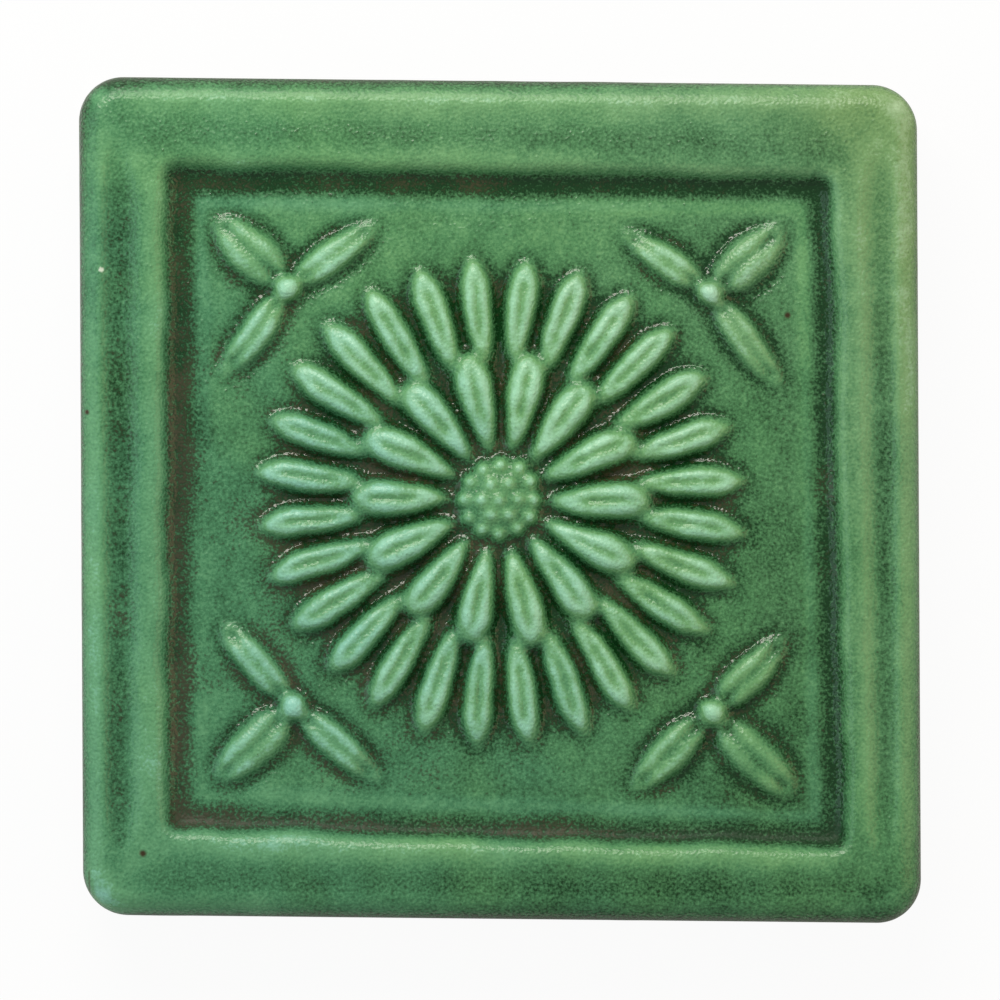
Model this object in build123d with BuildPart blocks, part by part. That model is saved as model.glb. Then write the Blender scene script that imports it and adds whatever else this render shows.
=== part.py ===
from build123d import *

import os
from math import asin, degrees, pi, radians, sqrt, tan

# Accent tile: a press-moulded, glazed ceramic wall tile, lying on its back with its face up.
# A raised border like a picture frame surrounds a sunk panel. The panel carries a rosette of
# petals in a shallow dish, and a sprig of leaves in each corner.
# Millimetres. The origin is the centre of the back, and +Z points out of the face.

# Blank
tile_side = 101.6
thickness = 12.7
corner_radius = 5.5
face_edge_radius = 3.2
back_edge_chamfer = 0.8

# Border: a rounded lip on each side of a long shallow scoop that fades out near the corners.
# Its inner wall leans back, so that the clay leaves the mould.
border_width = 10.0
wall_draft = 26.0
wall_foot_corner_radius = 0.9
inner_lip_radius = 2.0
scoop_inset = 5.0
scoop_end_margin = 7.0
scoop_fade = 9.0
scoop_width = 4.8
upright_scoop_depth = 0.7
level_scoop_depth = 0.12

# Sunk panel with sloping sides, and a channel between it and the border
panel_drop = 2.2
panel_draft = 60.0
panel_edge_radius = 1.2
panel_corner_radius = 2.4
channel_width = 1.9
channel_depth = 0.4
channel_floor_radius = 0.7

# Dish in the panel, which holds the rosette
dish_margin = 4.2
dish_depth = 0.7

# Rosette: a boss set with seeds, a ring of inner petals and a ring of longer outer petals
boss_radius = 6.6
boss_rise = 1.1
seed_radius = 0.85
seed_pitch = 2.1
seed_ring_count = 2
petal_gap = 1.3
boss_overlap = 0.9
inner_petal_count = 14
inner_petal_length = 13.0
inner_petal_nose = 4.5
inner_petal_rise = 1.9
petal_overlap = 4.0
outer_petal_count = 28
outer_petal_nose = 5.0
outer_petal_rise = 1.4
rim_margin = 2.6

# Corner sprigs: a leaf into the corner and one to each side of it, all from one bud
corner_margin = 2.2
corner_leaf_length = 13.2
corner_leaf_nose = 7.4
corner_leaf_width = 6.4
side_leaf_length = 14.0
side_leaf_nose = 7.8
side_leaf_width = 4.6
side_leaf_splay = 96.0
leaf_rise = 1.4
bud_radius = 1.7
vein_width = 1.1
vein_margin = 2.0

# Back: keying grooves for the adhesive
key_groove_count = 6
key_groove_pitch = 14.0
key_groove_width = 5.0
key_groove_depth = 1.2
key_groove_margin = 11.0

# Levels and places that follow from the sizes above
panel_level = thickness - panel_drop
channel_level = panel_level - channel_depth
dish_level = panel_level - dish_depth
recess_side = tile_side - 2 * border_width
wall_lean = (thickness - channel_level) * tan(radians(wall_draft))
recess_floor_side = recess_side - 2 * wall_lean
panel_foot_side = recess_floor_side - 2 * channel_width
panel_side = panel_foot_side - 2 * channel_depth * tan(radians(panel_draft))
scoop_length = tile_side - 2 * scoop_end_margin
dish_radius = panel_side / 2 - dish_margin
inner_petal_root = boss_radius - boss_overlap
inner_petal_tip = inner_petal_root + inner_petal_length
outer_petal_root = inner_petal_tip - petal_overlap
outer_petal_tip = dish_radius - rim_margin
panel_corner = sqrt(2) * panel_side / 2 - (sqrt(2) - 1) * panel_corner_radius
sprig_root = panel_corner - corner_margin - corner_leaf_length


def arc_radius(half_chord, rise):
    """Radius of the arc over a chord of twice half_chord that stands rise above its chord."""
    return (half_chord**2 + rise**2) / (2 * rise)


def pod(length, nose, width, rise):
    """A seed shape along +X, turned about an axis behind the surface z = 0.

    It stands out of that surface from x = 0 to x = length as a crowned leaf, with its widest
    place nose short of its tip.
    """
    girth = arc_radius(width / 2, rise)
    belly = length - nose
    tail_reach = sqrt(2 * girth * arc_radius(belly, rise) - girth**2)
    nose_reach = sqrt(2 * girth * arc_radius(nose, rise) - girth**2)
    axis_level = rise - girth
    with BuildPart() as turned:
        with BuildSketch(Plane.XZ.shift_origin((0, 0, axis_level))):
            with BuildLine():
                TangentArc((belly, girth), (belly - tail_reach, 0), tangent=(-1, 0))
                TangentArc((belly, girth), (belly + nose_reach, 0), tangent=(1, 0))
                Line((belly - tail_reach, 0), (belly + nose_reach, 0))
            make_face()
        revolve(axis=Axis((0, 0, axis_level), (1, 0, 0)))
    return turned.part


def gouge(length, fade, width, depth):
    """A cutter along +X, turned about an axis in front of the surface z = 0.

    The hollow that it leaves is of even depth, and runs out over fade at each end.
    """
    girth = arc_radius(width / 2, depth)
    end_reach = sqrt(2 * girth * arc_radius(fade, depth) - girth**2)
    axis_level = girth - depth
    with BuildPart() as turned:
        with BuildSketch(Plane.XZ.shift_origin((0, 0, axis_level))):
            with BuildLine():
                run = Line((fade, girth), (length - fade, girth))
                TangentArc(run @ 0, (fade - end_reach, 0), tangent=(-1, 0))
                TangentArc(run @ 1, (length - fade + end_reach, 0), tangent=(1, 0))
                Line((fade - end_reach, 0), (length - fade + end_reach, 0))
            make_face()
        revolve(axis=Axis((0, 0, axis_level), (1, 0, 0)))
    return turned.part


def vein(length, nose, rise):
    """A round cutter along the crown of such a leaf, stopping vein_margin short of its ends."""
    belly = length - nose
    tail_radius = arc_radius(belly, rise)
    nose_radius = arc_radius(nose, rise)
    tail_turn = degrees(asin((belly - vein_margin) / tail_radius))
    nose_turn = degrees(asin((nose - vein_margin) / nose_radius))
    with BuildPart() as cutter:
        with BuildLine(Plane.XZ) as crown:
            CenterArc((belly, rise - tail_radius), tail_radius, 90 + tail_turn, -tail_turn)
            CenterArc((belly, rise - nose_radius), nose_radius, 90, -nose_turn)
        with BuildSketch(crown.line ^ 0):
            Circle(vein_width / 2)
        sweep(path=crown.line)
    return cutter.part


def lens(radius, rise):
    """A lens round +Z, with its rim at z = 0 and rise on each side of it."""
    with BuildPart() as turned:
        with BuildSketch(Plane.XZ):
            with BuildLine():
                ThreePointArc((radius, 0), (0, rise), (-radius, 0))
                ThreePointArc((radius, 0), (0, -rise), (-radius, 0))
            make_face()
            split(bisect_by=Plane.YZ)
        revolve(axis=Axis.Z)
    return turned.part


def petal_width(count, widest_place):
    """Width that leaves petal_gap between the petals of a ring at their widest place."""
    return 2 * pi * widest_place / count - petal_gap


# Petals, leaves and gouges, each lying along +X on z = 0
inner_petal = pod(
    inner_petal_length,
    inner_petal_nose,
    petal_width(inner_petal_count, inner_petal_tip - inner_petal_nose),
    inner_petal_rise,
)
outer_petal = pod(
    outer_petal_tip - outer_petal_root,
    outer_petal_nose,
    petal_width(outer_petal_count, outer_petal_tip - outer_petal_nose),
    outer_petal_rise,
)
corner_leaf = pod(corner_leaf_length, corner_leaf_nose, corner_leaf_width, leaf_rise)
corner_vein = vein(corner_leaf_length, corner_leaf_nose, leaf_rise)
side_leaf = pod(side_leaf_length, side_leaf_nose, side_leaf_width, leaf_rise)
side_vein = vein(side_leaf_length, side_leaf_nose, leaf_rise)
upright_scoop = gouge(scoop_length, scoop_fade, scoop_width, upright_scoop_depth)
level_scoop = gouge(scoop_length, scoop_fade, scoop_width, level_scoop_depth)

# Sprig of three leaves, with its root at the origin and its corner leaf along +X
with BuildPart() as sprig:
    Sphere(bud_radius)
    add(corner_leaf)
    for splay in (side_leaf_splay, -side_leaf_splay):
        add(side_leaf, rotation=(0, 0, splay))
        add(side_vein, rotation=(0, 0, splay), mode=Mode.SUBTRACT)
    add(corner_vein, mode=Mode.SUBTRACT)

# Boss with its seeds, standing on z = 0
boss_height = boss_rise + dish_depth
boss_curve = arc_radius(boss_radius, boss_height)
with BuildPart() as boss:
    add(lens(boss_radius, boss_height))
    with Locations((0, 0, boss_height)):
        Sphere(seed_radius)
    for ring in range(1, seed_ring_count + 1):
        ring_radius = ring * seed_pitch
        ring_level = boss_height - boss_curve + sqrt(boss_curve**2 - ring_radius**2)
        with Locations((0, 0, ring_level)):
            with PolarLocations(ring_radius, 6 * ring):
                Sphere(seed_radius)

# Panel with its dish
with BuildPart() as panel:
    with BuildSketch(Plane.XY.offset(channel_level)):
        RectangleRounded(panel_foot_side, panel_foot_side, panel_corner_radius)
    extrude(amount=channel_depth, taper=panel_draft)
    fillet(panel.faces().sort_by(Axis.Z)[-1].edges(), panel_edge_radius)
    with Locations((0, 0, panel_level)):
        add(lens(dish_radius, dish_depth), mode=Mode.SUBTRACT)

# The tile, fired as one piece
with BuildPart() as tile:
    with BuildSketch():
        RectangleRounded(tile_side, tile_side, corner_radius)
    extrude(amount=thickness)
    fillet(tile.faces().sort_by(Axis.Z)[-1].edges(), face_edge_radius)
    chamfer(tile.faces().sort_by(Axis.Z)[0].edges(), back_edge_chamfer)

    # Recess inside the border, with the panel standing in it
    with BuildSketch(Plane.XY.offset(thickness)):
        RectangleRounded(recess_side, recess_side, wall_foot_corner_radius + wall_lean)
    extrude(amount=channel_level - thickness, taper=wall_draft, mode=Mode.SUBTRACT)
    fillet(tile.faces().sort_by(Axis.Z)[-1].inner_wires()[0].edges(), inner_lip_radius)
    add(panel.part)
    channel_edges = tile.edges().filter_by_position(Axis.Z, channel_level, channel_level)
    fillet(channel_edges, channel_floor_radius)

    # A scoop along each upright side of the border, and a shallower one along its top and bottom
    for start_angle, scoop in ((0, upright_scoop), (90, level_scoop)):
        with PolarLocations(tile_side / 2 - scoop_inset, 2, start_angle):
            with Locations(Location((0, -scoop_length / 2, thickness), (0, 0, 90))):
                add(scoop, mode=Mode.SUBTRACT)

    # Rosette, with each inner petal over the gap between two outer ones
    with Locations((0, 0, panel_level)):
        with PolarLocations(outer_petal_root, outer_petal_count, start_angle=180 / outer_petal_count):
            add(outer_petal)
        with PolarLocations(inner_petal_root, inner_petal_count):
            add(inner_petal)
    with Locations((0, 0, dish_level)):
        add(boss.part)

    # A sprig in each corner
    with Locations((0, 0, panel_level)):
        with PolarLocations(sprig_root, 4, start_angle=45):
            add(sprig.part)

    # Keying grooves across the back
    with BuildSketch():
        with GridLocations(key_groove_pitch, 0, key_groove_count, 1):
            SlotOverall(tile_side - 2 * key_groove_margin, key_groove_width, rotation=90)
    extrude(amount=key_groove_depth, mode=Mode.SUBTRACT)

tile.part.label = "tile"
os.makedirs("parts", exist_ok=True)
export_step(tile.part, "parts/tile.step")
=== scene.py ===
"""A press-moulded accent tile in a satin green glaze, and a plain studio stage to look at it on."""

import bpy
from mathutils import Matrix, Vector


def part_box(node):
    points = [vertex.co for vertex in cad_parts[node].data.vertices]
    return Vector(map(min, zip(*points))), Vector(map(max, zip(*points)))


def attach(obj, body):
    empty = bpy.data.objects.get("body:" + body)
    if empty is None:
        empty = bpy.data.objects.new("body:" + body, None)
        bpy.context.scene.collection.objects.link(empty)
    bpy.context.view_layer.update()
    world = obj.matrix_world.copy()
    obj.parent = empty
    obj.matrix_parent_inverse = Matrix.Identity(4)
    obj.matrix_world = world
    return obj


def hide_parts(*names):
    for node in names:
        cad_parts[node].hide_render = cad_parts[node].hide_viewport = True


bl_info = {
    "name": "Accent Tile",
    "version": (1, 0, 0),
    "blender": (4, 5, 0),
    "location": "View3D > Sidebar > Accent Tile",
    "description": "Models the tile's glazed face, sides and unglazed back, and lights it",
    "category": "Add Mesh",
}

from math import atan, cos, pi, radians, sin

import bmesh
import bpy
import numpy as np
from bpy.props import FloatProperty, FloatVectorProperty, PointerProperty
from bpy.types import Operator, Panel, PropertyGroup
from mathutils import Vector, noise
from mathutils.bvhtree import BVHTree

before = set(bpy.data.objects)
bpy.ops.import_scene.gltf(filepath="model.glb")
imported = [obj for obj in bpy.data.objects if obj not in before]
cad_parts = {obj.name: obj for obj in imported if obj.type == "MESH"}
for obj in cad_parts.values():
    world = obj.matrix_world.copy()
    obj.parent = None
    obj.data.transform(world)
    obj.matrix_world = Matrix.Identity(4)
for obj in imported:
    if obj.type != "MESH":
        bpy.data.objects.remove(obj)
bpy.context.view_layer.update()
MM = 0.001

# The moulded tile's own sizes, which its glazed face follows
HALF_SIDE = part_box("tile")[1][0]
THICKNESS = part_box("tile")[1][2]
CORNER_RADIUS = 5.5 * MM
FACE_EDGE_RADIUS = 3.2 * MM
BACK_CHAMFER = 0.8 * MM
PANEL_LEVEL = 10.5 * MM
PANEL_HALF = 36.9 * MM
BORDER_START = 40.8 * MM
CHANNEL_MIDDLE = 38.0 * MM
SCOOP_INSET = 5.0 * MM

# Bands of the glaze across the border and the recess, by their distance from the tile's middle
EDGE_START = 48.5 * MM
LIP_START = 47.8 * MM
CROWN_MIDDLE = 47.4 * MM
HOLLOW_MIDDLE = 44.0 * MM
INNER_LIP_MIDDLE = 42.0 * MM
WALL_FOOT = 39.3 * MM
RIM_MIDDLE = 35.9 * MM

# Corners of the recess: left or right, lower or upper, and how far each is out of its true place
RECESS_STRAY = (
    (-1, 1, 0.0, -0.35 * MM),
    (1, 1, 0.0, -1.0 * MM),
    (-1, -1, -0.3 * MM, 0.0),
    (1, -1, 1.3 * MM, -1.3 * MM),
)
GROOVE_CENTRES = [14.0 * MM * (i - 2.5) for i in range(6)]
GROOVE_WIDTH = 5.0 * MM
GROOVE_DEPTH = 1.2 * MM
GROOVE_MARGIN = 11.0 * MM
# Rings of petals: how many, turned by, from and to which radius
INNER_RING = (14, 0.0, 5.7 * MM, 18.7 * MM)
OUTER_RING = (28, pi / 28, 14.7 * MM, 30.1 * MM)

# Glaze on the sides: how it ripples, over what distance, and how much iron is in it
RIPPLE = 0.07 * MM
RIPPLE_SIZE = 7 * MM
SIDE_IRON = 0.1
# Edges that are sharper than this stay sharp to the eye
SHARP_ANGLE = radians(42)

# Middle of the hairline at one corner, and how far it runs to each side of that
HAIRLINE_X = -49.2 * MM
HAIRLINE_Y = -46.5 * MM
HAIRLINE_REACH = 2.1 * MM

# Stage: lamps' widths and heights in metres, half the floor's side and how far it lies below the tile
KEY_LAMP_SIZE = (0.28, 0.10)
SIDE_LAMP_SIZE = (0.30, 0.30)
FLOOR_HALF = 3.0
FLOOR_DROP = 0.05 * MM
# Share of the floor's white that is the same in shade as in light
FLOOR_GLOW = 0.94


def linear(hex_colour):
    """Linear RGBA of an sRGB hex colour."""
    parts = [int(hex_colour[i : i + 2], 16) / 255 for i in (1, 3, 5)]
    return [c / 12.92 if c <= 0.04045 else ((c + 0.055) / 1.055) ** 2.4 for c in parts] + [1.0]


def colour_property(name, description, hex_colour):
    """A colour that a user can change, given as an sRGB hex value."""
    return FloatVectorProperty(
        name=name,
        description=description,
        default=linear(hex_colour),
        size=4,
        min=0.0,
        max=1.0,
        subtype="COLOR",
    )


def length_property(name, description, millimetres):
    """A length that a user can change, given in millimetres."""
    return FloatProperty(
        name=name, description=description, default=millimetres * MM, min=0.0, precision=5, subtype="DISTANCE"
    )


def angle_property(name, description, degrees):
    """An angle that a user can change, given in degrees."""
    return FloatProperty(name=name, description=description, default=radians(degrees), subtype="ANGLE")


def power_property(name, description, watts):
    """A lamp's power that a user can change, given in watts."""
    return FloatProperty(name=name, description=description, default=watts, min=0.0, unit="POWER")


def share_property(name, description, share):
    """A share from 0 to 1 that a user can change."""
    return FloatProperty(name=name, description=description, default=share, min=0.0, max=1.0)


class ACCENTTILE_PG_body(PropertyGroup):
    """How the moulded face was finished by hand and softened by its glaze."""

    spacing: length_property("Mesh Spacing", "Distance between the points of the face", 0.38)
    edge_spacing: length_property("Edge Spacing", "The same over the rounded edge", 0.25)
    wander: length_property("Wander", "How far the forms stray from their drawn places", 0.36)
    wander_size: length_property("Wander Size", "Distance over which they stray to and fro", 9.0)
    swell: length_property("Swell", "Height of the slow swells in the clay", 0.16)
    swell_size: length_property("Swell Size", "Distance between those swells", 9.0)
    moat_depth: length_property("Moat Depth", "How far the ground sinks beside the relief", 0.60)
    moat_width: length_property("Moat Width", "How far from the relief it sinks", 1.0)
    crease_depth: length_property("Crease Depth", "Depth of the line drawn down each petal", 0.46)
    crease_width: length_property("Crease Width", "Half width of that line", 0.50)
    lump: length_property("Lump", "Height of the thumbed lumps on the relief", 0.22)
    lump_size: length_property("Lump Size", "Distance between those lumps", 2.8)
    softening: length_property("Softening", "How far the glaze rounds each edge of the relief", 0.38)
    channel_softening: length_property("Channel Softening", "The same beside the channel", 0.8)
    channel_fill: share_property("Channel Fill", "How much of the channel's depth the glaze fills", 0.7)
    out_of_square: angle_property("Out of Square", "How far each side leans, warped as the clay dried", 0.45)


class ACCENTTILE_PG_glaze(PropertyGroup):
    """Colours of the glaze by its depth, and of the clay under it."""

    crest: colour_property("Crest", "Thinnest glaze, on the crests of the relief", "#b0dec3")
    lip: colour_property("Lip", "Thin glaze on lips and round edges", "#7bad79")
    ground: colour_property("Ground", "Glaze of even depth on flat ground", "#588d60")
    shade: colour_property("Shade", "Thick glaze at the foot of a slope", "#0f3b18")
    pool: colour_property("Pool", "Brown of the iron that comes out where the glaze pools", "#4c4631")
    warm: colour_property("Warm", "Tint that the kiln drew out near one corner", "#ffeed8")
    cool: colour_property("Cool", "Tint of the cooler clouds in the glaze", "#dcf6ff")
    leaf: colour_property("Leaf", "Tint of the glaze between those two", "#f2fff3")
    pinhole: colour_property("Pinhole", "Brown of the pinholes, where the glaze broke", "#3c2f18")
    fleck: colour_property("Fleck", "Pale flecks of unmelted glaze", "#d9e6d4")
    clay: colour_property("Clay", "Bare fired clay of the back", "#b7a288")
    grog: colour_property("Grog", "Dark grains in the clay", "#6f5a47")
    grain: length_property("Grain", "Size of the fine crystals in the glaze", 0.37)
    mottle: length_property("Mottle", "Size of the cloudy patches in the glaze", 6.0)
    glaze_line: length_property("Glaze Line", "Height on the sides where the glaze stops", 2.4)


class ACCENTTILE_PG_stage(PropertyGroup):
    """Floor, lamps and camera."""

    floor_colour: colour_property("Floor", "Colour of the floor", "#f4f4f2")
    fill: share_property("Fill", "Strength of the even light all round, where 1 is white", 0.35)
    key_power: power_property("Key", "Power of the lamp over the far edge", 1.18)
    key_tilt: angle_property("Key Tilt", "Angle of that lamp from straight above", 45)
    key_distance: length_property("Key Distance", "How far that lamp is from the tile", 420.0)
    key_turn: angle_property("Key Turn", "How far round to the left that lamp stands", 15)
    left_power: power_property("Left", "Power of the lamp on the left", 0.32)
    right_power: power_property("Right", "Power of the lamp on the right", 0.27)
    side_tilt: angle_property("Side Tilt", "Angle of those lamps from straight above", 58)
    side_distance: length_property("Side Distance", "How far those lamps are from the tile", 420.0)
    key_light: colour_property("Key Light", "Colour of the lamp over the far edge", "#fff9ee")
    cool_light: colour_property("Cool Light", "Colour of the lamp on the left", "#cdf3ee")
    warm_light: colour_property("Warm Light", "Colour of the lamp on the right", "#ffdf9f")
    camera_height: length_property("Camera Height", "Height of the lens above the panel", 900.0)
    view_width: length_property("View Width", "Width of the picture at the panel's level", 120.2)
    roll: angle_property("Roll", "Turn of the camera", 0.15)


# Shaping the face as a field of heights


def soften(field, radius, spacing):
    """The field blurred by a bell curve of that radius."""
    spread = radius / spacing
    reach = max(1, int(3 * spread + 0.5))
    weights = np.exp(-0.5 * (np.arange(-reach, reach + 1) / spread) ** 2)
    weights /= weights.sum()
    for _ in range(2):
        padded = np.pad(field, ((reach, reach), (0, 0)), mode="edge")
        field = sum(w * padded[i : i + field.shape[0]] for i, w in enumerate(weights)).T
    return field


def wander(x, y, size, seed, octaves=1):
    """Smooth noise from about -1 to 1 at each place, with features of that size and finer octaves."""
    places = zip(x.ravel() / size, y.ravel() / size)
    return np.array([noise.fractal((a, b, seed), 0.8, 2.0, octaves) for a, b in places]).reshape(x.shape)


def face_lines(body):
    """Places of the face's mesh lines from edge to edge, closer together over the rounded edges."""
    reach = HALF_SIDE - 0.1 * MM
    round_edge = FACE_EDGE_RADIUS + 0.3 * MM
    edge = np.linspace(-reach, -reach + round_edge, round(round_edge / body.edge_spacing), endpoint=False)
    middle_count = 2 * round((reach - round_edge) / body.spacing)
    middle = np.linspace(-reach + round_edge, reach - round_edge, middle_count, endpoint=False)
    return np.concatenate((edge, middle, -edge[::-1] - (edge[1] - edge[0]), [reach]))


def to_outline(x, y):
    """Takes places on a square grid to rings that follow the tile's rounded corners."""
    ring = np.maximum(abs(x), abs(y))
    radius = np.clip(CORNER_RADIUS - (HALF_SIDE - ring), 1e-9, None)
    straight = ring - radius
    turn = np.clip((np.minimum(abs(x), abs(y)) - straight) / radius, 0, 1) * pi / 4
    in_corner = turn > 0
    far = np.where(in_corner, straight + radius * np.cos(turn), ring)
    near = np.where(in_corner, straight + radius * np.sin(turn), np.minimum(abs(x), abs(y)))
    wide = abs(x) >= abs(y)
    return np.sign(x) * np.where(wide, far, near), np.sign(y) * np.where(wide, near, far)


def drape(x, y):
    """Height of the moulded face at each place."""
    tree = BVHTree.FromObject(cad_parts["tile"], bpy.context.evaluated_depsgraph_get())
    down = Vector((0, 0, -1))
    heights = []
    for a, b in zip(x.ravel(), y.ravel()):
        hit = tree.ray_cast(Vector((a, b, 2 * THICKNESS)), down)[0]
        if hit is None:
            raise RuntimeError("The face has a hole in it")
        heights.append(hit.z)
    return np.array(heights).reshape(x.shape)


def drape_evenly(x, y, spread, inside):
    """Mean height of the moulded face round each place, so that steep walls don't come out as steps."""
    reach = spread * inside / 4
    return sum(drape(x + a * reach, y + b * reach) for a in (-1, 1) for b in (-1, 1)) / 4


def petal_creases(x, y, ring, width):
    """How deep, from 0 to 1, the line drawn down each petal of a ring is at each place."""
    count, turn, root, tip = ring
    radius = np.hypot(x, y)
    step = 2 * pi / count
    off_axis = (np.arctan2(y, x) - turn + step / 2) % step - step / 2
    along = np.clip((radius - root) / (tip - root), 0, 1)
    fade = np.clip((along - 0.25) / 0.15, 0, 1) * np.clip((0.86 - along) / 0.12, 0, 1)
    return fade * np.exp(-((radius * np.sin(off_axis) / width) ** 2))


def true_place(x, y):
    """Where each place of the face would be if the recess, which was finished by hand, were true."""
    ring = np.maximum(abs(x), abs(y))
    # The stray dies away towards the middle of the panel and towards the outer edge
    hold = np.clip((ring - 24 * MM) / (10 * MM), 0, 1) * np.clip((46.5 * MM - ring) / (5 * MM), 0, 1)
    true_x, true_y = x, y
    for side, end, stray_x, stray_y in RECESS_STRAY:
        across = np.clip(0.5 + 0.5 * side * x / BORDER_START, 0, 1)
        along = np.clip(0.5 + 0.5 * end * y / BORDER_START, 0, 1)
        true_x = true_x - hold * across * along * stray_x
        true_y = true_y - hold * across * along * stray_y
    return true_x, true_y


def finish_face(x, y, body):
    """Heights of the finished face: the moulded one with its forms gone over by hand and softened."""
    inside = np.clip((HALF_SIDE - np.maximum(abs(x), abs(y)) - 2.2 * MM) / (4 * MM), 0, 1)
    px, py = true_place(x, y)
    px = px + body.wander * inside * wander(x, y, body.wander_size, 1.3, 2)
    py = py + body.wander * inside * wander(x, y, body.wander_size, 7.7, 2)
    z = drape_evenly(px, py, body.spacing, inside)

    ring = np.maximum(abs(px), abs(py))
    panel = np.clip((PANEL_HALF - ring) / (0.8 * MM), 0, 1)
    raised = panel * np.clip((z - PANEL_LEVEL) / (0.7 * MM), 0, 1)
    beside_relief = np.clip(2 * soften(raised, body.moat_width, body.spacing), 0, 1)
    z -= body.moat_depth * panel * (1 - raised) * beside_relief

    on_border = np.clip((ring - BORDER_START) / (1.2 * MM), 0, 1)
    z += body.swell * inside * (1 - 0.6 * on_border) * wander(x, y, body.swell_size, 4.1, 2)
    z += body.lump * raised * wander(x, y, body.lump_size, 9.2)
    by_channel = np.exp(-(((ring - CHANNEL_MIDDLE) / (2.4 * MM)) ** 4))
    z += body.channel_fill * by_channel * np.clip(PANEL_LEVEL - z, 0, None)
    smooth = soften(z, body.softening, body.spacing)
    # The lower wall's foot stays sharper than the rest of the channel
    foot = np.clip((-py - abs(px)) / (4 * MM) + 1, 0, 1)
    smooth += by_channel * (1 - 0.8 * foot) * (soften(z, body.channel_softening, body.spacing) - smooth)
    z += inside * (smooth - z)

    inner = petal_creases(px, py, INNER_RING, body.crease_width)
    outer = petal_creases(px, py, OUTER_RING, body.crease_width)
    on_inner = np.clip((INNER_RING[3] - np.hypot(px, py)) / (0.6 * MM), 0, 1)
    z -= body.crease_depth * raised * (inner * on_inner + outer * (1 - on_inner))
    return np.minimum(z, THICKNESS - 0.02 * MM)


def band(place, middle, half_width, steepness=2):
    """1 along the middle of a band and 0 beside it, with sides that a higher power makes steeper."""
    return np.exp(-(abs((place - middle) / half_width) ** steepness))


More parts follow.
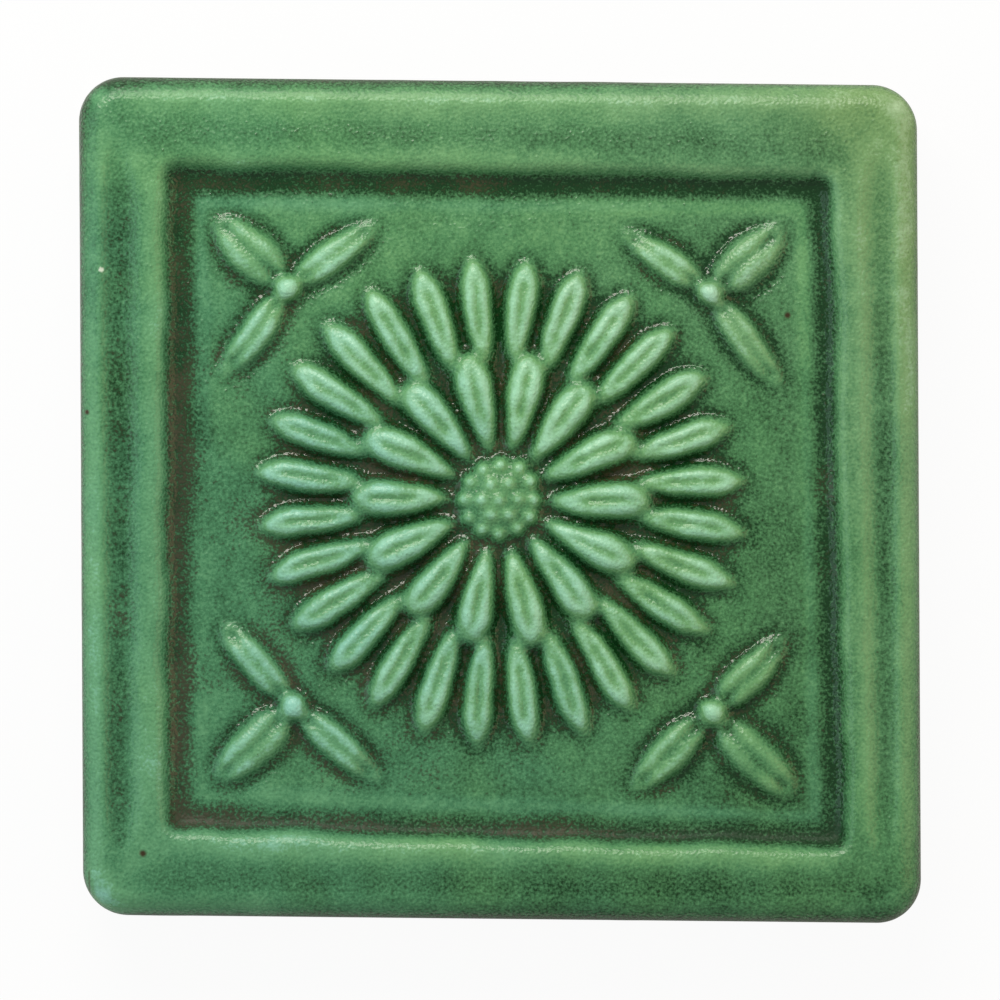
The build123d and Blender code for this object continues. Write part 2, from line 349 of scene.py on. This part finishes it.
def glaze_coat(x, y, z, body, glaze):
    """What the glaze is like at each place, as four numbers from 0 to 1.

    The first is its depth as the eye sees it, from 0 on a crest through 0.5 on flat ground to 1 in a pool:
    it runs off what is narrow, high and round into what is narrow, low and hollow. It also carries painted
    shade: it grows towards the lower edge, partly from thicker glaze and partly as painted shade where the
    light falls off, and in the channel, partly from pooled glaze and partly as painted shade at the wall's
    foot, most of all as the painted shadow under the top wall. The second is how much iron has come out in
    it, the third is how warm its tint is, and the fourth is how far fine crystals have dulled it.
    """
    narrow = soften(z, 0.6 * MM, body.spacing) - z
    broad = soften(z, 1.5 * MM, body.spacing) - z
    wide = soften(z, 2.6 * MM, body.spacing) - z
    true_x, true_y = true_place(x, y)
    ring = np.maximum(abs(true_x), abs(true_y))
    border = np.clip((ring - BORDER_START) / (1.2 * MM) + 0.6, 0, 1)
    panel = 1 - border
    outer = np.clip((ring - BORDER_START) / (6.0 * MM), 0, 1)
    sag = panel * (1.7 * narrow + 1.15 * broad) + border * (0.14 + 0.36 * outer) * (broad + wide)
    run_and_shade = (sag - 0.07 * (z - PANEL_LEVEL)) / MM

    # Towards which edge, towards the far corner on the right, and in the corners of the border
    up = np.clip(y / HALF_SIDE, 0, 1)
    down = np.clip(-y / HALF_SIDE, 0, 1)
    left = np.clip(-x / HALF_SIDE, 0, 1)
    right = np.clip(x / HALF_SIDE, 0, 1)
    far = np.clip((x + 0.7 * y) / (1.7 * HALF_SIDE), 0, 1)
    midway = band(y, 6 * MM, 18 * MM)
    corner = np.clip((np.minimum(abs(x), abs(y)) - BORDER_START) / (7 * MM), 0, 1)
    run_and_shade += 0.03 * (left - right) - 0.54 * far**4
    run_and_shade += corner * (left * (0.46 * up - 0.12 * down) + right * (0.22 * up + 0.25 * down) - 0.08)
    # On the panel, darker towards the lower edge: partly thicker glaze, partly painted shade where the light
    # falls off
    run_and_shade += panel * (0.26 * down * (1 - 1.1 * left) + 0.46 * right**2 + 0.08 * left * midway)

    # Bands across the border, from the edge inwards
    edge = np.clip((ring - EDGE_START) / MM, 0, 1)
    lip = np.clip((ring - LIP_START) / (0.8 * MM), 0, 1)
    crown = band(ring, CROWN_MIDDLE, 2.2 * MM, 4)
    hollow = band(ring, HOLLOW_MIDDLE, 1.6 * MM)
    inner_lip = band(ring, INNER_LIP_MIDDLE, 1.3 * MM)
    scoop_ends = np.clip((BORDER_START - abs(y)) / (8 * MM), 0, 1)
    scoop_middle = SCOOP_INSET + np.where(x < 0, -0.2, 0.3) * MM
    scoop = scoop_ends * band(HALF_SIDE - abs(x), scoop_middle, np.where(x < 0, 3.1 + 1.1 * up, 2.4) * MM, 6)

    # Top and bottom sides of the border, and then its upright sides
    over = border * np.clip((abs(y) - abs(x)) / (8 * MM) + 0.5, 0, 1)
    beside = border - over
    run_and_shade += over * up * (0.04 + 0.60 * edge * (1 - right) + (0.40 * right - 0.08) * crown)
    # Along the top, the inner lip and the wall below it are darker: painted shade of the wall that faces away
    # from the lamp
    run_and_shade += over * up * ((0.38 + 0.20 * right) * hollow + (0.85 * right + 0.45 * left**2) * inner_lip)
    # Lower sides of the border darker: partly thicker glaze, partly painted shade where the light falls off
    run_and_shade += over * down * (0.20 + 0.46 * outer - 0.38 * left - 0.25 * inner_lip - 0.20 * left * edge)
    run_and_shade += beside * down * (0.06 + 0.25 * outer - left * (0.40 * hollow + 0.20 * lip))
    run_and_shade += beside * left * (0.45 * up * lip + (0.30 + 0.22 * up - 0.30 * down) * scoop)
    run_and_shade += beside * right * (0.48 * inner_lip + 0.20 * crown + 0.30 * midway * crown - 0.35 * down * scoop)

    # The channel, and the rim of the panel beside it, which both lie further out on the right
    side = 0.5 + 0.5 * np.clip((left - right) / 0.75, -1, 1)
    channel_half = (1.2 + 0.6 * side * midway) * MM
    channel = band(ring, CHANNEL_MIDDLE + 1.1 * MM * (1 - side), channel_half)
    # Darker in the channel: partly pooled glaze, partly painted shade at the wall's foot; the extra along the
    # top is the painted shadow of the top wall
    run_and_shade += (0.40 + 0.40 * up - 0.38 * right - 0.42 * down) * channel
    rim = band(ring, RIM_MIDDLE + 0.8 * MM * (1 - side), 0.9 * MM)
    run_and_shade -= rim * (0.05 + 0.28 * np.maximum(up, down) + 0.26 * right * (1 - up) - 0.22 * left * midway)
    run_and_shade -= rim * 0.10 * wander(x, y, glaze.mottle, 8.4)

    depth = 0.5 + 0.5 * np.tanh(run_and_shade + 0.18 * wander(x, y, glaze.mottle, 2.6, 3))
    depth = soften(depth, 0.3 * MM, body.spacing)

    # Iron comes out where the glaze is deep, in patches, and most on the left
    patches = wander(x, y, glaze.mottle, 5.9, 3)
    iron = 1.5 * (depth - 0.5) + 0.22 * (left - right) - 0.06 + 0.40 * patches - 0.30 * up
    iron += channel * (0.14 * left + 0.14 * down * (1 - 5 * right) - 0.16 * right)
    iron += border * (0.20 * scoop * left * np.clip(1 - 1.5 * down, 0, 1) - 0.26)

    # Warmest at the far corner on the right
    warmth = 0.5 + 0.5 * (x + 0.7 * y) / (1.7 * HALF_SIDE) - 0.25 * rim - 0.04 * left - 0.06 * panel
    warmth += 0.20 * (1 - far) * wander(x, y, 1.5 * glaze.mottle, 3.3, 2)

    # Dull at the foot of the lower wall, and a little along the top edge
    below = np.clip((-true_y - abs(true_x)) / (4 * MM) + 1, 0, 1)
    dull = 0.9 * below * band(ring, WALL_FOOT, 1.2 * MM, 4) + 0.45 * over * up * lip * (1 - right)
    return depth, np.clip(iron, 0, 1), np.clip(warmth, 0, 1), np.clip(dull, 0, 1)


# Making the tile's mesh


def outward(vertex, inset, z):
    """Moves a vertex of the rim to that inset from the tile's outline and to that height."""
    core = HALF_SIDE - CORNER_RADIUS
    centre = Vector((max(-core, min(core, vertex.co.x)), max(-core, min(core, vertex.co.y)), 0))
    out = Vector((vertex.co.x, vertex.co.y, 0)) - centre
    vertex.co = centre + out.normalized() * (CORNER_RADIUS - inset)
    vertex.co.z = z


def add_sides(bm, rim, coat, glaze_line):
    """Draws the face's rim down the sides and round the lower edge. Returns the edges of the back."""
    below_edge = THICKNESS - FACE_EDGE_RADIUS
    # Inset, height, and the depth that the glaze tends to there
    sections = (
        (0.0, below_edge, 0.46),
        (0.0, below_edge - 2.6 * MM, 0.52),
        (0.0, glaze_line + 2.0 * MM, 0.58),
        (0.0, glaze_line, 0.66),
        (0.0, BACK_CHAMFER, 0.5),
        (BACK_CHAMFER, 0.0, 0.5),
    )
    for inset, z, depth in sections:
        drawn = bmesh.ops.extrude_edge_only(bm, edges=rim)["geom"]
        rim = [e for e in drawn if isinstance(e, bmesh.types.BMEdge) and e.is_boundary]
        for vertex in {v for e in rim for v in e.verts}:
            ripple = RIPPLE * (1 + noise.noise(vertex.co / RIPPLE_SIZE))
            outward(vertex, inset + ripple, z)
            vertex[coat] = ((vertex[coat].x + depth) / 2, SIDE_IRON, vertex[coat].z)
    return rim


def cut(bm, faces, place, normal):
    """Cuts those faces along a plane and returns all the pieces."""
    geom = set(faces) | {e for f in faces for e in f.edges} | {v for f in faces for v in f.verts}
    pieces = bmesh.ops.bisect_plane(bm, geom=list(geom), plane_co=place, plane_no=normal)["geom"]
    return [f for f in pieces if isinstance(f, bmesh.types.BMFace)]


def add_back(bm, rim):
    """Closes the back and presses its keying grooves, which have round ends, into it."""
    faces = bmesh.ops.edgeloop_fill(bm, edges=rim)["faces"]
    half_length = HALF_SIDE - GROOVE_MARGIN
    half_width = GROOVE_WIDTH / 2
    for y in (-half_length, half_length):
        faces = cut(bm, faces, (0, y, 0), (0, 1, 0))
    for x in [c + side for c in GROOVE_CENTRES for side in (-half_width, half_width)]:
        faces = cut(bm, faces, (x, 0, 0), (1, 0, 0))
    grooves = []
    for face in faces:
        middle = face.calc_center_bounds()
        if abs(middle.y) < half_length and min(abs(middle.x - c) for c in GROOVE_CENTRES) < half_width:
            grooves.append(face)
    pressed = bmesh.ops.extrude_face_region(bm, geom=grooves)["geom"]
    tops = [v for v in pressed if isinstance(v, bmesh.types.BMVert)]
    bmesh.ops.translate(bm, verts=tops, vec=(0, 0, GROOVE_DEPTH))
    bmesh.ops.delete(bm, geom=[f for f in grooves if f.is_valid], context="FACES_ONLY")
    rise = GROOVE_DEPTH / 2
    posts = {e for v in tops for e in v.link_edges if abs(e.verts[0].co.z - e.verts[1].co.z) > rise}
    # Just short of half the width, where the two rounded posts of an end would meet
    end_radius = 0.96 * half_width
    bmesh.ops.bevel(
        bm,
        geom=list(posts),
        offset=end_radius,
        offset_type="OFFSET",
        affect="EDGES",
        segments=6,
        profile=0.5,
        material=-1,
    )


def bake_map(bm, face_count, side_count):
    """Lays the face and sides out flat in one piece, and the back with its grooves beside them."""
    layer = bm.loops.layers.uv.new("OFBake")
    core = HALF_SIDE - CORNER_RADIUS
    # Middles of the two layouts on the map, and their scales from the share of it that each may take
    middle, back_middle = 0.39, 0.885
    scale = 0.76 / (2 * (HALF_SIDE + THICKNESS))
    back_scale = 0.2 / (2 * HALF_SIDE)
    for face in bm.faces:
        for loop in face.loops:
            x, y, z = loop.vert.co
            if face.index >= side_count:
                if z > GROOVE_DEPTH / 2:
                    # The floor of a groove is drawn in, so that its walls have room round it
                    groove = min(GROOVE_CENTRES, key=lambda c: abs(c - x))
                    x, y = groove + 0.75 * (x - groove), 0.985 * y
                loop[layer].uv = (back_middle + x * back_scale, back_middle + y * back_scale)
                continue
            if face.index >= face_count:
                centre = Vector((max(-core, min(core, x)), max(-core, min(core, y))))
                fall = max(0.0, THICKNESS - FACE_EDGE_RADIUS / 2 - z)
                x, y = centre + (Vector((x, y)) - centre).normalized() * (CORNER_RADIUS + fall)
            loop[layer].uv = (middle + x * scale, middle + y * scale)


def make_tile_mesh(body, glaze):
    """The whole tile as one closed mesh, with what its glaze is like at each point."""
    lines = face_lines(body)
    bm = bmesh.new()
    bmesh.ops.create_grid(bm, x_segments=len(lines) - 1, y_segments=len(lines) - 1, size=1.0)
    coat = bm.verts.layers.float_vector.new("glaze_coat")
    dullness = bm.verts.layers.float.new("glaze_dullness")
    face_verts = sorted(bm.verts, key=lambda v: (round(v.co.y, 6), round(v.co.x, 6)))
    x, y = to_outline(*np.meshgrid(lines, lines))
    z = finish_face(x, y, body)
    places = np.dstack((x, y, z)).reshape(-1, 3)
    coats = np.dstack(glaze_coat(x, y, z, body, glaze)).reshape(-1, 4)
    for vertex, place, coating in zip(face_verts, places, coats):
        vertex.co = place
        vertex[coat] = coating[:3]
        vertex[dullness] = coating[3]
    face_count = len(bm.faces)
    rim = add_sides(bm, [e for e in bm.edges if e.is_boundary], coat, glaze.glaze_line)
    side_count = len(bm.faces)
    add_back(bm, rim)
    bm.faces.index_update()
    bmesh.ops.recalc_face_normals(bm, faces=bm.faces)
    bake_map(bm, face_count, side_count)

    # Leans the sides, and then shrinks the tile a little so that it stays inside the moulded one
    lean = -sin(body.out_of_square)
    for vertex in bm.verts:
        vertex.co.x, vertex.co.y = vertex.co.x + lean * vertex.co.y, vertex.co.y + lean * vertex.co.x
    reach = max(max(abs(v.co.x), abs(v.co.y)) for v in bm.verts)
    shrink = (HALF_SIDE - 0.01 * MM) / reach
    bmesh.ops.scale(bm, vec=(shrink, shrink, 1), verts=bm.verts)

    mesh = bpy.data.meshes.new("glazed_tile")
    bm.to_mesh(mesh)
    bm.free()
    mesh.shade_smooth()
    mesh.set_sharp_from_angle(angle=SHARP_ANGLE)
    return mesh


# Materials

# Numbers of a Mix node's inputs when it mixes colours
MIX_SHARE = 0
MIX_A = 6
MIX_B = 7


def add_node(tree, kind, settings, inputs):
    """Adds a node with its settings, and sets or links its inputs, which go by name or number."""
    node = tree.nodes.new(kind)
    for name, value in settings.items():
        setattr(node, name, value)
    for key, value in inputs.items():
        if isinstance(value, bpy.types.Node):
            value = next(socket for socket in value.outputs if socket.enabled)
        if isinstance(value, bpy.types.NodeSocket):
            tree.links.new(value, node.inputs[key])
        else:
            node.inputs[key].default_value = value
    return node


def new_material(name):
    """An empty material and its node tree."""
    material = bpy.data.materials.new(name)
    material.use_nodes = True
    material.node_tree.nodes.clear()
    return material, material.node_tree


def satin_green_glaze(glaze):
    """Satin green glaze over fired clay.

    The glaze runs thin and pale over crests and lips, lies deep green at the foot of slopes and
    turns brown where it pools. Fine crystals in it make a grain and break up its highlights.
    """
    material, tree = new_material("satin_green_glaze")
    place = add_node(tree, "ShaderNodeTexCoord", {}, {}).outputs["Object"]
    x, y, height = add_node(tree, "ShaderNodeSeparateXYZ", {}, {0: place}).outputs
    coat = add_node(tree, "ShaderNodeAttribute", {"attribute_name": "glaze_coat"}, {}).outputs["Vector"]
    depth, iron, warmth = add_node(tree, "ShaderNodeSeparateXYZ", {}, {0: coat}).outputs
    dull = add_node(tree, "ShaderNodeAttribute", {"attribute_name": "glaze_dullness"}, {}).outputs["Fac"]

    # Fine crystals, and flecks of several of them. They show most where the glaze lies deep.
    fine = {"Vector": place, "Scale": 1 / glaze.grain, "Detail": 2.0, "Roughness": 0.6}
    crystals = add_node(tree, "ShaderNodeTexNoise", {}, fine)
    grain = add_node(tree, "ShaderNodeMapRange", {}, {"Value": crystals, "To Min": -0.5, "To Max": 0.5})
    flecked = {"Vector": place, "Scale": 1 / (3 * glaze.grain), "Detail": 2.0, "Roughness": 0.6}
    flecks = add_node(tree, "ShaderNodeTexNoise", {}, flecked)
    speckle = add_node(tree, "ShaderNodeMapRange", {}, {"Value": flecks, "To Min": -0.5, "To Max": 0.5})
    shows = {"Value": depth, "From Min": 0.2, "From Max": 0.7, "To Min": 0.15, "To Max": 0.88}
    strength = add_node(tree, "ShaderNodeMapRange", {}, shows)
    seen = add_node(tree, "ShaderNodeMath", {"operation": "MULTIPLY_ADD"}, {0: grain, 1: strength, 2: depth})
    seen = add_node(tree, "ShaderNodeMath", {"operation": "MULTIPLY_ADD"}, {0: speckle, 1: 0.22, 2: seen})

    # Green by the depth that the eye sees, and so also by the painted shade that this depth carries
    ramp = add_node(tree, "ShaderNodeValToRGB", {}, {"Fac": seen})
    first, last = ramp.color_ramp.elements
    first.position, first.color = 0.08, glaze.crest
    last.position, last.color = 0.84, glaze.shade
    ramp.color_ramp.elements.new(0.28).color = glaze.lip
    ramp.color_ramp.elements.new(0.50).color = glaze.ground

    # Iron comes out as a brown stipple
    stipple = add_node(tree, "ShaderNodeMath", {"operation": "MULTIPLY_ADD"}, {0: grain, 1: 2.2, 2: iron})
    browned = add_node(tree, "ShaderNodeMapRange", {}, {"Value": stipple, "From Min": 0.36, "From Max": 1.05})
    colour_mix = {"data_type": "RGBA"}
    colour = add_node(tree, "ShaderNodeMix", colour_mix, {MIX_SHARE: browned, MIX_A: ramp, MIX_B: glaze.pool})

    # Cooler at one corner and warmer at the other
    tint = add_node(tree, "ShaderNodeValToRGB", {}, {"Fac": warmth})
    first, last = tint.color_ramp.elements
    first.position, first.color = 0.15, glaze.cool
    last.position, last.color = 0.98, glaze.warm
    tint.color_ramp.elements.new(0.55).color = glaze.leaf
    tint.color_ramp.elements.new(0.82).color = (1, 1, 1, 1)
    tinted = {"data_type": "RGBA", "blend_type": "MULTIPLY"}
    colour = add_node(tree, "ShaderNodeMix", tinted, {MIX_SHARE: 1.0, MIX_A: colour, MIX_B: tint})

    # Blemishes from the firing: pinholes, a pale fleck, and a hairline at one corner
    flat = add_node(tree, "ShaderNodeCombineXYZ", {}, {0: x, 1: y})
    for spot, size, spot_colour in (
        ((-42.7 * MM, -42.5 * MM, 0), 0.55 * MM, glaze.pinhole),
        ((34.5 * MM, 22.3 * MM, 0), 0.50 * MM, glaze.pinhole),
        ((-49.6 * MM, 10.4 * MM, 0), 0.40 * MM, glaze.pinhole),
        ((-47.9 * MM, 27.5 * MM, 0), 0.40 * MM, glaze.fleck),
    ):
        apart = add_node(tree, "ShaderNodeVectorMath", {"operation": "DISTANCE"}, {0: flat, 1: spot})
        ragged = {0: grain, 1: 0.3 * MM, 2: apart.outputs["Value"]}
        away = add_node(tree, "ShaderNodeMath", {"operation": "MULTIPLY_ADD"}, ragged)
        within = {"Value": away, "From Min": size, "From Max": 0.4 * size}
        mark = add_node(tree, "ShaderNodeMapRange", {}, within)
        marked = {MIX_SHARE: mark, MIX_A: colour, MIX_B: spot_colour}
        colour = add_node(tree, "ShaderNodeMix", colour_mix, marked)
    across = add_node(tree, "ShaderNodeMath", {"operation": "SUBTRACT"}, {0: x, 1: HAIRLINE_X})
    across = add_node(tree, "ShaderNodeMath", {"operation": "ABSOLUTE"}, {0: across})
    along = add_node(tree, "ShaderNodeMath", {"operation": "SUBTRACT"}, {0: y, 1: HAIRLINE_Y})
    along = add_node(tree, "ShaderNodeMath", {"operation": "ABSOLUTE"}, {0: along})
    thin = {"Value": across, "From Min": 0.16 * MM, "From Max": 0.05 * MM, "To Max": 0.6}
    long = {"Value": along, "From Min": HAIRLINE_REACH, "From Max": HAIRLINE_REACH - 0.5 * MM}
    thin = add_node(tree, "ShaderNodeMapRange", {}, thin)
    long = add_node(tree, "ShaderNodeMapRange", {}, long)
    hairline = add_node(tree, "ShaderNodeMath", {"operation": "MULTIPLY"}, {0: thin, 1: long})
    cracked = {MIX_SHARE: hairline, MIX_A: colour, MIX_B: glaze.pinhole}
    colour = add_node(tree, "ShaderNodeMix", colour_mix, cracked)

    # Bare clay with dark grains in it, below a wavering glaze line
    waver = add_node(tree, "ShaderNodeTexNoise", {}, {"Vector": place, "Scale": 1 / glaze.mottle})
    waver = add_node(tree, "ShaderNodeMath", {"operation": "SUBTRACT"}, {0: waver, 1: 0.5})
    line = add_node(tree, "ShaderNodeMath", {"operation": "MULTIPLY_ADD"}, {0: waver, 1: 1.6 * MM, 2: height})
    edge = {"Value": line, "From Min": glaze.glaze_line + 0.12 * MM, "From Max": glaze.glaze_line - 0.12 * MM}
    bare = add_node(tree, "ShaderNodeMapRange", {}, edge)
    gritty = {"Vector": place, "Scale": 1 / (0.5 * MM), "Detail": 2.0, "Roughness": 0.6}
    grit = add_node(tree, "ShaderNodeTexNoise", {}, gritty)
    grains = {"Value": grit, "From Min": 0.60, "From Max": 0.68, "To Max": 0.7}
    grains = add_node(tree, "ShaderNodeMapRange", {}, grains)
    speckled = {MIX_SHARE: grains, MIX_A: glaze.clay, MIX_B: glaze.grog}
    clay = add_node(tree, "ShaderNodeMix", colour_mix, speckled)
    colour = add_node(tree, "ShaderNodeMix", colour_mix, {MIX_SHARE: bare, MIX_A: colour, MIX_B: clay})

    # Satin where the glaze is thin or dulled, and glossy where it lies deep. Wrinkles as wide as the
    # crystals break up its shine.
    glossy = {"Value": seen, "From Min": 0.2, "From Max": 0.85, "To Min": 0.36, "To Max": 0.17}
    gloss = add_node(tree, "ShaderNodeMapRange", {}, glossy)
    number_mix = {"data_type": "FLOAT"}
    gloss = add_node(tree, "ShaderNodeMix", number_mix, {"Factor": dull, "A": gloss, "B": 0.6})
    rough = add_node(tree, "ShaderNodeMix", number_mix, {"Factor": bare, "A": gloss, "B": 0.85})
    wrinkled = {"Vector": place, "Scale": 1 / glaze.grain, "Detail": 0.0}
    wrinkles = add_node(tree, "ShaderNodeTexNoise", {}, wrinkled)
    bump = add_node(tree, "ShaderNodeBump", {}, {"Height": wrinkles, "Strength": 1.0, "Distance": 0.09 * MM})
    surface = {"Base Color": colour, "Roughness": rough, "Normal": bump, "IOR": 1.45}
    shader = add_node(tree, "ShaderNodeBsdfPrincipled", {}, surface)
    add_node(tree, "ShaderNodeOutputMaterial", {}, {"Surface": shader})
    return material


def matte_white_card(colour):
    """Matte white card for the floor, which reads as white to the camera and keeps the tile's soft shadow."""
    material, tree = new_material("matte_white_card")
    path = add_node(tree, "ShaderNodeLightPath", {}, {}).outputs
    glowing = {0: path["Is Camera Ray"], 1: FLOOR_GLOW}
    share = add_node(tree, "ShaderNodeMath", {"operation": "MULTIPLY"}, glowing)
    card = add_node(tree, "ShaderNodeBsdfDiffuse", {}, {"Color": colour})
    white = add_node(tree, "ShaderNodeEmission", {}, {"Strength": 1.0})
    both = add_node(tree, "ShaderNodeMixShader", {}, {0: share, 1: card, 2: white})
    add_node(tree, "ShaderNodeOutputMaterial", {}, {"Surface": both})
    return material


def add_lamp(scene, name, direction, distance, size, power, colour):
    """An area lamp that faces the tile's middle. Its direction is an azimuth and a tilt from straight up."""
    azimuth, tilt = direction
    lamp = bpy.data.lights.new(name, "AREA")
    lamp.shape = "RECTANGLE"
    lamp.size, lamp.size_y = size
    lamp.energy = power
    lamp.color = colour[:3]
    holder = bpy.data.objects.new(name, lamp)
    aim = Vector((sin(tilt) * cos(azimuth), sin(tilt) * sin(azimuth), cos(tilt)))
    holder.location = distance * aim
    holder.rotation_euler = aim.to_track_quat("Z", "Y").to_euler()
    scene.collection.objects.link(holder)


class ACCENTTILE_OT_make_tile(Operator):
    """Model the glazed tile over the moulded one"""

    bl_idname = "accent_tile.make_tile"
    bl_label = "Make Glazed Tile"
    bl_options = {"REGISTER", "UNDO"}

    def execute(self, context):
        settings = context.scene.accent_tile
        mesh = make_tile_mesh(settings.body, settings.glaze)
        mesh.materials.append(satin_green_glaze(settings.glaze))
        tile = bpy.data.objects.new("glazed_tile", mesh)
        context.collection.objects.link(tile)
        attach(tile, "root")
        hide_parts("tile")
        return {"FINISHED"}


class ACCENTTILE_OT_set_stage(Operator):
    """Set up the floor, the lamps and a camera that looks straight down"""

    bl_idname = "accent_tile.set_stage"
    bl_label = "Set Stage"
    bl_options = {"REGISTER", "UNDO"}

    def execute(self, context):
        scene = context.scene
        stage = scene.accent_tile.stage
        scene.view_settings.view_transform = "Standard"

        bm = bmesh.new()
        bmesh.ops.create_grid(bm, x_segments=1, y_segments=1, size=FLOOR_HALF)
        mesh = bpy.data.meshes.new("floor")
        bm.to_mesh(mesh)
        bm.free()
        mesh.materials.append(matte_white_card(stage.floor_colour))
        floor = bpy.data.objects.new("floor", mesh)
        floor.location.z = -FLOOR_DROP
        scene.collection.objects.link(floor)

        world = bpy.data.worlds.new("even_light")
        world.use_nodes = True
        background = world.node_tree.nodes["Background"].inputs
        background["Color"].default_value = (1, 1, 1, 1)
        background["Strength"].default_value = stage.fill
        scene.world = world

        key = (pi / 2 + stage.key_turn, stage.key_tilt)
        add_lamp(scene, "key_lamp", key, stage.key_distance, KEY_LAMP_SIZE, stage.key_power, stage.key_light)
        for name, azimuth, power, colour in (
            ("left_lamp", pi, stage.left_power, stage.cool_light),
            ("right_lamp", 0, stage.right_power, stage.warm_light),
        ):
            side = (azimuth, stage.side_tilt)
            add_lamp(scene, name, side, stage.side_distance, SIDE_LAMP_SIZE, power, colour)

        lens = bpy.data.cameras.new("camera")
        lens.sensor_fit = "HORIZONTAL"
        lens.angle = 2 * atan(stage.view_width / 2 / stage.camera_height)
        camera = bpy.data.objects.new("camera", lens)
        camera.location = (0, 0, PANEL_LEVEL + stage.camera_height)
        camera.rotation_euler = (0, 0, stage.roll)
        scene.collection.objects.link(camera)
        scene.camera = camera
        return {"FINISHED"}


class ACCENTTILE_PG_settings(PropertyGroup):
    """All the settings of the tile and its stage."""

    body: PointerProperty(name="Body", description="How the face was finished", type=ACCENTTILE_PG_body)
    glaze: PointerProperty(name="Glaze", description="Colours of the glaze", type=ACCENTTILE_PG_glaze)
    stage: PointerProperty(name="Stage", description="Floor, lamps and camera", type=ACCENTTILE_PG_stage)


class ACCENTTILE_PT_panel(Panel):
    """Sidebar panel with the tile's settings and the buttons that make it."""

    bl_idname = "ACCENTTILE_PT_panel"
    bl_label = "Accent Tile"
    bl_space_type = "VIEW_3D"
    bl_region_type = "UI"
    bl_category = "Accent Tile"

    def draw(self, context):
        settings = context.scene.accent_tile
        groups = (("Body", settings.body), ("Glaze", settings.glaze), ("Stage", settings.stage))
        for title, group in groups:
            box = self.layout.box()
            box.label(text=title)
            for name in type(group).__annotations__:
                box.prop(group, name)
        self.layout.operator(ACCENTTILE_OT_make_tile.bl_idname)
        self.layout.operator(ACCENTTILE_OT_set_stage.bl_idname)


CLASSES = (
    ACCENTTILE_PG_body,
    ACCENTTILE_PG_glaze,
    ACCENTTILE_PG_stage,
    ACCENTTILE_PG_settings,
    ACCENTTILE_OT_make_tile,
    ACCENTTILE_OT_set_stage,
    ACCENTTILE_PT_panel,
)


def register():
    for cls in CLASSES:
        bpy.utils.register_class(cls)
    bpy.types.Scene.accent_tile = PointerProperty(type=ACCENTTILE_PG_settings)


def unregister():
    del bpy.types.Scene.accent_tile
    for cls in reversed(CLASSES):
        bpy.utils.unregister_class(cls)


def main():
    register()
    bpy.ops.accent_tile.make_tile()
    bpy.ops.accent_tile.set_stage()


if __name__ == "__main__":
    main()
